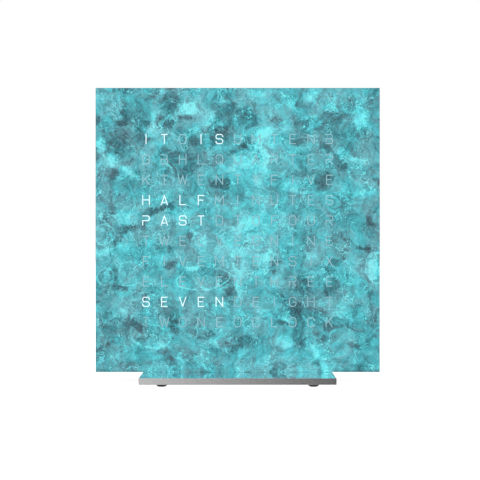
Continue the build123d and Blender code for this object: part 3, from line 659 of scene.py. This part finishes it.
def dressCover():
    material, tree, principled = newMaterial("oxidisedMetal", Specular_IOR_Level=0.15)
    place = millimetres(tree)
    middle, half = boxOf("front_cover")
    group = addNode(tree, "Group", node_tree=makePatinaGroup())
    listed = vectorCalc(tree, "ADD", place, (0, 0, patina["middleHeight"] - middle[2]))
    tree.links.new(listed, group.inputs["Place"])
    oxide = group.outputs
    axes = axesOf(tree, place)
    front, bottom = middle[1] - half[1], middle[2] - half[2]
    back = remap(tree, axes["Y"], *(front + depth for depth in coverSheet["steelBehind"]))
    lines = noise(tree, stretch(tree, place, 0.05, 1, 3.0), 2.2, 4, 0.6)
    # the rim is worn dark, but not where the cover meets the foot plate, and the low corners beside the
    # plate are darkened with a painted shade
    plateHalf = boxOf("base_plate")[1][0]
    across = calc(tree, "ABSOLUTE", axes["X"])
    beside = remap(tree, across, *(plateHalf + past for past in coverSheet["plateEnds"]))
    low = remap(tree, axes["Z"], *(bottom + height for height in coverSheet["lowEdge"]))
    offPlate = calc(tree, "SUBTRACT", 1.0, times(tree, low, calc(tree, "SUBTRACT", 1.0, beside)))
    worn = wornEdges(tree, place, "front_cover", coverSheet["rimWidth"], coverSheet["rimFray"])
    rim = times(tree, worn, coverSheet["rimWear"])
    # painted shade: the low corners beside the foot plate are drawn darker
    paintedLowShade = times(tree, times(tree, low, beside), coverSheet["paintedLowShade"])
    dark = calc(tree, "MAXIMUM", times(tree, rim, offPlate), paintedLowShade)
    colour = mixColour(tree, dark, oxide["Colour"], coverSheet["rim"])
    colour = mixColour(tree, back, colour, ramp(tree, lines, coverSheet["steel"]))
    rough = remap(tree, oxide["Tone"], *coverSheet["tones"], *coverSheet["roughness"])
    rough = calc(tree, "SUBTRACT", rough, times(tree, back, coverSheet["steelSmoother"]))
    metal = times(tree, back, coverSheet["steelMetal"])
    feed(tree, principled, Base_Color=colour, Roughness=rough, Metallic=metal,
         Normal=bump(tree, oxide["Relief"], coverSheet["relief"], 0.6))
    dress(material, "front_cover")


dressCover()
print("stage: front cover")


lightBox = {
    # painted shade: the unlit letters' fronts are drawn greyer than the opal sheet, for the dark box behind
    # them
    "shadedUnlit": srgb(164, 212, 222),
    "shadedUnlitDark": srgb(148, 197, 207),
    "opal": srgb(228, 231, 231),    # the sheet behind the letters
    "sheetBehind": (0.5, 1.4),      # the letters' front, where it starts and is full, mm
    "litStrength": 0.62,
    "litColour": (1.0, 0.995, 0.975, 1),
    "litEdge": 0.05,
    "filmGlow": 0.9, "filmEdge": 2.6, "filmShrink": 0.4,
}


def litGlow(tree, place, soft, shrink=0.0):
    return mixColour(tree, litMask(tree, place, soft, shrink), (0, 0, 0, 1), lightBox["litColour"])


def dressLens():
    material, tree, principled = newMaterial(
        "opalAcrylic", Roughness=0.32, Emission_Strength=lightBox["litStrength"])
    place = millimetres(tree)
    # painted shade on the letters' fronts, for the dark box behind them; the sheet behind keeps the opal
    # colour
    cloudy = noise(tree, place, 0.35, 4, 0.6)
    shadedTips = mixColour(tree, remap(tree, cloudy, 0.35, 0.65), lightBox["shadedUnlitDark"], lightBox["shadedUnlit"])
    middle, half = boxOf("letter_lens")
    front = middle[1] - half[1]
    sheet = remap(tree, axesOf(tree, place)["Y"], *(front + depth for depth in lightBox["sheetBehind"]))
    colour = mixColour(tree, sheet, shadedTips, lightBox["opal"])
    glow = litGlow(tree, place, lightBox["litEdge"])
    feed(tree, principled, Base_Color=colour, Emission_Color=glow,
         Normal=bump(tree, noise(tree, place, 8, 3), 0.00002, 0.4))
    dress(material, "letter_lens")


def dressFilm():
    material, tree, principled = newMaterial(
        "diffuserFilm", Roughness=0.6, Emission_Strength=lightBox["filmGlow"])
    place = millimetres(tree)
    haze = noise(tree, place, 1.2, 4, 0.7)
    colour = ramp(tree, haze, [(0.3, srgb(224, 226, 226)), (0.7, srgb(238, 239, 238))])
    glow = litGlow(tree, place, lightBox["filmEdge"], lightBox["filmShrink"])
    feed(tree, principled, Base_Color=colour, Emission_Color=glow)
    dress(material, "diffuser_film")


dressLens()
dressFilm()
print("stage: letters")


footPlate = {
    "mirror": srgb(238, 239, 240),
    "satin": [(0.3, srgb(210, 210, 211)), (0.7, srgb(236, 236, 237))],
    "edge": srgb(132, 136, 138), "edgeWidth": 0.25,  # painted shade: the broken edges are drawn darker so that they catch less of the bright room
    "satinRoughness": (0.17, 0.27),
    "mirrorRoughness": (0.02, 0.05),
    "mirrorBelow": (0.3, 0.15),     # the top, where the polish starts and is full, mm
    "rubbedHeight": 0.7,            # of the feet, mm
}


def dressPlate():
    # a polished top, and sides left with a satin grain
    material, tree, principled = newMaterial("polishedSteel", Metallic=1.0)
    place = millimetres(tree)
    middle, half = boxOf("base_plate")
    topAt = middle[2] + half[2]
    top = remap(tree, axesOf(tree, place)["Z"], *(topAt - depth for depth in footPlate["mirrorBelow"]))
    grain = noise(tree, stretch(tree, place, 0.35, 0.35, 4.0), 2.4, 3, 0.7)
    speck = noise(tree, place, 4.0, 2, 0.8)
    tone = weighted(tree, grain, 0.6, speck, 0.4)
    colour = mixColour(tree, top, ramp(tree, tone, footPlate["satin"]), footPlate["mirror"])
    # painted shade on the broken edges, which keeps them from reflecting the bright room
    edges = wornEdges(tree, place, "base_plate", footPlate["edgeWidth"])
    colour = mixColour(tree, edges, colour, footPlate["edge"])
    smear = useGroup(tree, handledGroup, {"Place": place, "Scale": 0.05}, "Smear")
    mirror = remap(tree, smear, 0.0, 1.0, *footPlate["mirrorRoughness"])
    satin = remap(tree, tone, 0.3, 0.7, *footPlate["satinRoughness"])
    onSides = calc(tree, "SUBTRACT", 1.0, top)
    feed(tree, principled, Base_Color=colour, Roughness=weighted(tree, mirror, top, satin, onSides),
         Normal=bump(tree, times(tree, tone, onSides), 0.00002, 0.5))
    dress(material, "base_plate")


def dressRubber():
    material, tree, principled = newMaterial("footRubber", Specular_IOR_Level=0.3)
    place = millimetres(tree)
    dust = useGroup(tree, handledGroup, {"Place": place, "Scale": 0.3}, "Dust")
    grain = noise(tree, place, 5.0, 3, 0.7)
    low = remap(tree, axesOf(tree, place)["Z"], footPlate["rubbedHeight"], 0.0)     # paler where rubbed
    tone = weighted(tree, dust, 0.5, low, 0.4)
    colour = ramp(tree, tone, [(0.0, srgb(14, 14, 15)), (1.0, srgb(38, 38, 39))])
    feed(tree, principled, Base_Color=colour, Roughness=remap(tree, dust, 0.0, 1.0, 0.5, 0.8),
         Normal=bump(tree, grain, 0.00003, 0.5))
    dress(material, "rubber_feet")


dressPlate()
dressRubber()
print("stage: foot plate")


moulding = {
    "wornWidth": 0.7, "wornFray": 0.5, "wornShare": 0.35,
    "wornPaler": 2.2,               # how many times as bright as the light colour
    "print": srgb(190, 192, 194),
    "printBelow": (0.12, 0.05),     # a mark's top, where the print starts and is full, mm
}


def mouldedPlastic(name, dark, light, rough, grainScale=3.2, relief=0.00005, worn=None, marksAt=None):
    # a fine eroded grain, dust, and paler edges on the worn node. marksAt is how far back, in
    # millimetres, the raised marks end that are printed pale
    material, tree, principled = newMaterial(name, Specular_IOR_Level=0.4)
    place = millimetres(tree)
    grain = noise(tree, place, grainScale, 4, 0.75)
    dust = useGroup(tree, handledGroup, {"Place": place, "Scale": 0.045}, "Dust")
    smear = useGroup(tree, handledGroup, {"Place": place, "Scale": 0.045}, "Smear")
    tone = weighted(tree, grain, 0.6, dust, 0.4)
    colour = ramp(tree, tone, [(0.25, dark), (0.7, light)])
    if worn:
        edges = wornEdges(tree, place, worn, moulding["wornWidth"], moulding["wornFray"])
        paler = tuple(min(1.0, moulding["wornPaler"] * value) for value in light[:3]) + (1,)
        colour = mixColour(tree, times(tree, edges, moulding["wornShare"]), colour, paler)
    if marksAt:
        limits = [marksAt - depth for depth in moulding["printBelow"]]
        colour = mixColour(tree, remap(tree, axesOf(tree, place)["Y"], *limits), colour, moulding["print"])
    roughness = plus(tree, remap(tree, dust, 0.0, 1.0, rough - 0.04, rough + 0.08),
                     times(tree, smear, -0.07))
    feed(tree, principled, Base_Color=colour, Roughness=roughness, Normal=bump(tree, grain, relief, 0.7))
    return material


def turnedMetal(name, dark, light, rough, across=0.3, up=2.0):
    # metal with fine drawn lines
    material, tree, principled = newMaterial(name, Metallic=1.0)
    place = millimetres(tree)
    lines = noise(tree, stretch(tree, place, across, 1.0, up), 3.0, 4, 0.65)
    dust = useGroup(tree, handledGroup, {"Place": place, "Scale": 0.2}, "Dust")
    colour = ramp(tree, lines, [(0.3, dark), (0.7, light)])
    roughness = plus(tree, remap(tree, lines, 0.3, 0.7, rough - 0.06, rough + 0.06),
                     times(tree, dust, 0.06))
    feed(tree, principled, Base_Color=colour, Roughness=roughness, Normal=bump(tree, lines, 0.00001, 0.5))
    return material


def dressCase():
    dress(mouldedPlastic("casePlastic", srgb(30, 31, 33), srgb(48, 49, 51), 0.5, worn="case_shell"),
          "case_shell")
    dress(mouldedPlastic("rearPlastic", srgb(31, 32, 34), srgb(50, 51, 53), 0.54, worn="rear_cover"),
          "rear_cover")
    button = boxOf("mode_button")
    dress(mouldedPlastic("buttonPlastic", srgb(62, 64, 67), srgb(82, 84, 87), 0.4,
                         marksAt=button[0][1] + button[1][1]),
          "mode_button", "hour_button", "minute_button")
    dress(mouldedPlastic("powderCoat", srgb(28, 28, 29), srgb(42, 42, 43), 0.6, 5.0, 0.00004,
                         "pedestal_bar"), "pedestal_bar")
    dress(turnedMetal("blackScrews", srgb(30, 30, 31), srgb(62, 62, 63), 0.36), "rear_screws")
    dress(turnedMetal("nickelPlate", srgb(176, 176, 174), srgb(206, 205, 200), 0.22), "cover_magnets",
          "backup_cell")
    dress(turnedMetal("zincSteel", srgb(150, 152, 155), srgb(190, 191, 193), 0.32), "board_screws",
          "base_screws", "cell_clip", "clock_crystal", "supply_capacitor", "cover_discs")
    dress(turnedMetal("brass", srgb(176, 142, 74), srgb(208, 174, 100), 0.3), "base_inserts", "inlet_pin")


def dressInside():
    dress(mouldedPlastic("gridPlastic", srgb(214, 215, 214), srgb(236, 236, 234), 0.5), "light_grid")
    dress(mouldedPlastic("blackFittings", srgb(18, 18, 19), srgb(34, 34, 35), 0.42), "cell_holder",
          "dc_inlet", "button_switches", "alarm_sounder", "light_sensor")
    dress(mouldedPlastic("plungerPlastic", srgb(132, 32, 26), srgb(164, 46, 38), 0.4), "mode_plunger",
          "hour_plunger", "minute_plunger")


chips = {
    # their moulded bodies, from the face's middle: x, z, half width, half height
    "bodies": [(0, 0, 3.52, 3.52), (-26, 14, 2.52, 4.02), (26, 14, 2.52, 4.02), (17, -46, 3.26, 3.06)],
    "plastic": [(0.3, srgb(18, 18, 19)), (0.7, srgb(34, 34, 35))],
    "tin": [(0.3, srgb(170, 172, 174)), (0.7, srgb(202, 203, 204))],
    "edge": 0.02,
}


def dressChips():
    # moulded bodies with tinned leads
    material, tree, principled = newMaterial("chipEpoxy", Specular_IOR_Level=0.4)
    place = millimetres(tree)
    middle = boxOf("front_cover")[0]
    bodies = [(middle[0] + x, middle[2] + z, *half) for x, z, *half in chips["bodies"]]
    body = windows(tree, place, bodies, chips["edge"])
    grain = noise(tree, place, 3.2, 4, 0.75)
    colour = mixColour(tree, body, ramp(tree, grain, chips["tin"]), ramp(tree, grain, chips["plastic"]))
    feed(tree, principled, Base_Color=colour, Metallic=calc(tree, "SUBTRACT", 1.0, body),
         Roughness=remap(tree, body, 0.0, 1.0, 0.3, 0.46), Normal=bump(tree, grain, 0.00004, 0.6))
    dress(material, "microcontroller", "led_drivers", "voltage_regulator")


circuit = {
    "mask": [(0.3, srgb(12, 62, 42)), (0.7, srgb(20, 84, 58))],
    "track": srgb(38, 120, 84),
    "edge": srgb(176, 160, 104),            # bare laminate round the rim
    "edgeInside": (0.12, 0.04),             # the rim, where it starts and is full, mm
    "trackWidth": 0.35, "trackSoft": 0.08,  # half of each, mm
    "trackShifts": {"Z": 1.6, "X": 1.9},    # from the lamps, mm
    "farPitches": 100,                      # added, so that no place is below 0
}


def dressBoard():
    # green mask over copper tracks: one along each row of lamps and one down each column
    material, tree, principled = newMaterial("circuitBoard", Roughness=0.34)
    place = millimetres(tree)
    middle = boxOf("diffuser_film")[0]
    axes = axesOf(tree, vectorCalc(tree, "SUBTRACT", place, (middle[0], 0, middle[2])))
    width, soft = circuit["trackWidth"], circuit["trackSoft"]
    tracks = []
    for axis, pitch in (("Z", letters["rowPitch"]), ("X", letters["columnPitch"])):
        beside = plus(tree, axes[axis], circuit["trackShifts"][axis] + circuit["farPitches"] * pitch)
        off = calc(tree, "PINGPONG", beside, pitch / 2)
        tracks.append(remap(tree, off, width + soft, width - soft))
    track = calc(tree, "MAXIMUM", *tracks)
    boardMiddle, boardHalf = boxOf("display_board")
    fromMiddle = axesOf(tree, vectorCalc(tree, "SUBTRACT", place, boardMiddle))
    edges = []
    for axis, reach in (("X", boardHalf[0]), ("Z", boardHalf[2])):
        limits = [reach - inside for inside in circuit["edgeInside"]]
        edges.append(remap(tree, calc(tree, "ABSOLUTE", fromMiddle[axis]), *limits))
    rim = calc(tree, "MAXIMUM", *edges)
    tone = noise(tree, place, 0.9, 5, 0.7)
    colour = mixColour(tree, track, ramp(tree, tone, circuit["mask"]), circuit["track"])
    colour = mixColour(tree, rim, colour, circuit["edge"])
    relief = weighted(tree, track, 0.7, tone, 0.2)
    feed(tree, principled, Base_Color=colour, Normal=bump(tree, relief, 0.00004, 0.8))
    dress(material, "display_board")


dressCase()
dressInside()
dressChips()
dressBoard()
print("stage: case and board")


def geometryNode(tree, kind, inputs):
    node = tree.nodes.new("GeometryNode" + kind)
    fill(tree, node, inputs)
    return node.outputs


def makeRowsTree():
    # copies of a part in rows and columns, upright and square to Y
    tree, start, end = newGroup("rowsOfParts", {
        "Columns": 2, "Rows": 2, "Width": 0.01, "Height": 0.01, "Middle": (0, 0, 0), "Part": "Object",
        "Finish": "Material"}, {"Geometry": "Geometry"}, "Geometry")
    grid = geometryNode(tree, "MeshGrid", {
        "Size X": start["Width"], "Size Y": start["Height"],
        "Vertices X": start["Columns"], "Vertices Y": start["Rows"]})
    upright = geometryNode(tree, "Transform", {
        "Geometry": grid["Mesh"], "Translation": start["Middle"], "Rotation": (math.pi / 2, 0, 0)})
    part = geometryNode(tree, "ObjectInfo", {"Object": start["Part"]})
    copies = geometryNode(tree, "InstanceOnPoints", {
        "Points": upright["Geometry"], "Instance": part["Geometry"]})
    whole = geometryNode(tree, "RealizeInstances", {"Geometry": copies["Instances"]})
    finished = geometryNode(tree, "SetMaterial", {
        "Geometry": whole["Geometry"], "Material": start["Finish"]})
    tree.links.new(finished["Geometry"], end["Geometry"])
    return tree


rowsTree = makeRowsTree()


def grownMesh(name, tree, settings):
    # what a Geometry Nodes tree makes with these settings, as a plain mesh
    holder = bpy.data.objects.new(name, bpy.data.meshes.new(name))
    bpy.context.collection.objects.link(holder)
    modifier = holder.modifiers.new(name, "NODES")
    modifier.node_group = tree
    for item in tree.interface.items_tree:
        if item.item_type == "SOCKET" and item.in_out == "INPUT" and item.name in settings:
            modifier[item.identifier] = settings[item.name]
    evaluated = holder.evaluated_get(bpy.context.evaluated_depsgraph_get())
    mesh = bpy.data.meshes.new_from_object(evaluated)
    holder.modifiers.remove(modifier)
    bpy.data.objects.remove(holder)
    return mesh


def joinedPiece(name, meshes, material):
    # one object, at the origin, of several meshes
    shape = bmesh.new()
    for mesh in meshes:
        shape.from_mesh(mesh)
    whole = bpy.data.meshes.new(name)
    shape.to_mesh(whole)
    shape.free()
    whole.materials.append(material)
    piece = bpy.data.objects.new(name, whole)
    bpy.context.collection.objects.link(piece)
    return piece


def partOf(name, blocks):
    # a small part of chamfered blocks, each (middle, size, chamfer) in millimetres
    shape = bmesh.new()
    for middle, size, cut in blocks:
        made = bmesh.ops.create_cube(shape, size=1.0)["verts"]
        bmesh.ops.scale(shape, vec=Vector(size) / 1000, verts=made)
        bmesh.ops.translate(shape, vec=Vector(middle) / 1000, verts=made)
        if cut:
            edges = {edge for vert in made for edge in vert.link_edges}
            bmesh.ops.bevel(shape, geom=list(edges), offset=cut / 1000, segments=1, affect="EDGES")
    mesh = bpy.data.meshes.new(name)
    shape.to_mesh(mesh)
    shape.free()
    part = bpy.data.objects.new(name, mesh)
    bpy.context.collection.objects.link(part)
    return part


def riding(piece, slotName, *replaced):
    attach(piece, "clock")
    if replaced:
        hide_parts(*replaced)


def grownRows(name, part, material, middle, columns, rows, width, height):
    # sizes in millimetres
    return grownMesh(name, rowsTree, {
        "Columns": columns, "Rows": rows, "Width": width / 1000, "Height": height / 1000,
        "Middle": tuple(value / 1000 for value in middle), "Part": part, "Finish": material})


lampSizes = {
    # blocks of one lamp as (middle, size, chamfer), its solder face at y 0
    "body": [((0, -0.38, 0), (1.5, 0.76, 1.25), 0.08)],
    "phosphor": [((0, -0.74, 0), (0.95, 0.12, 0.85), 0.03)],
    "terminals": [((side * 0.87, -0.25, 0), (0.26, 0.5, 1.25), 0.03) for side in (-1, 1)],
}


def makeLamps():
    finishes = {
        "body": mouldedPlastic("lampBody", srgb(222, 222, 216), srgb(240, 240, 236), 0.35, 6.0),
        "phosphor": lampPhosphor(),
        "terminals": turnedMetal("tinned", srgb(176, 178, 180), srgb(208, 209, 210), 0.3),
    }
    middle = boxOf("letter_leds")[0]
    solderFace = 1000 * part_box("letter_leds")[1][1]
    columns, rows = letters["columns"], letters["rows"]
    width = (columns - 1) * letters["columnPitch"]
    height = (rows - 1) * letters["rowPitch"]
    for name, blocks in lampSizes.items():
        part = partOf(name, blocks)
        mesh = grownRows(name, part, finishes[name], (middle[0], solderFace, middle[2]),
                         columns, rows, width, height)
        piece = joinedPiece("lamp_" + name, [mesh], finishes[name])
        bpy.data.objects.remove(part)
        riding(piece, "lamp_white", *(["letter_leds"] if name == "body" else []))
    return finishes["terminals"]


def lampPhosphor():
    material, tree, principled = newMaterial(
        "phosphor", Roughness=0.3, Emission_Strength=lightBox["litStrength"])
    place = millimetres(tree)
    cloudy = noise(tree, place, 3.0, 3, 0.6)
    colour = ramp(tree, cloudy, [(0.3, srgb(226, 196, 96)), (0.7, srgb(240, 214, 128))])
    glow = litGlow(tree, place, lightBox["litEdge"])
    feed(tree, principled, Base_Color=colour, Emission_Color=glow)
    return material


smallParts = {
    "body": [((0, 0.24, 0), (1.0, 0.44, 0.8), 0.04)],
    "ends": [((side * 0.65, 0.24, 0), (0.34, 0.48, 0.84), 0.04) for side in (-1, 1)],
    # rows on the board's back, from the face's middle: x, z, columns, rows, width, height
    "resistors": [(0, 33, 11, 2, 44, 3), (-26, 4, 3, 2, 6, 2.4), (26, 4, 3, 2, 6, 2.4)],
    "capacitors": [(-9, 0, 2, 4, 2.6, 7), (9, 0, 2, 4, 2.6, 7), (8, -40, 2, 2, 3, 3)],
}


def makeSmallParts(tinned):
    cover = boxOf("front_cover")[0]
    backOfBoard = 1000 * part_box("display_board")[1][1]
    finishes = {
        "resistors": mouldedPlastic("resistorGlaze", srgb(20, 20, 22), srgb(34, 34, 37), 0.3, 6.0),
        "capacitors": mouldedPlastic("capacitorCeramic", srgb(150, 118, 84), srgb(172, 138, 100), 0.4, 6.0),
    }
    body = partOf("smallBody", smallParts["body"])
    ends = partOf("smallEnds", smallParts["ends"])
    endMeshes = []
    for kind, finish in finishes.items():
        bodyMeshes = []
        for x, z, columns, rows, width, height in smallParts[kind]:
            place = (cover[0] + x, backOfBoard, cover[2] + z)
            bodyMeshes.append(grownRows(kind, body, finish, place, columns, rows, width, height))
            endMeshes.append(grownRows(kind, ends, tinned, place, columns, rows, width, height))
        riding(joinedPiece(kind, bodyMeshes, finish), "chip_black")
    riding(joinedPiece("solderedEnds", endMeshes, tinned), "pin_metal")
    bpy.data.objects.remove(body)
    bpy.data.objects.remove(ends)


makeSmallParts(makeLamps())
print("stage: lamps and small parts")

bpy.context.scene.view_settings.view_transform = "Standard"
print("stage: done")
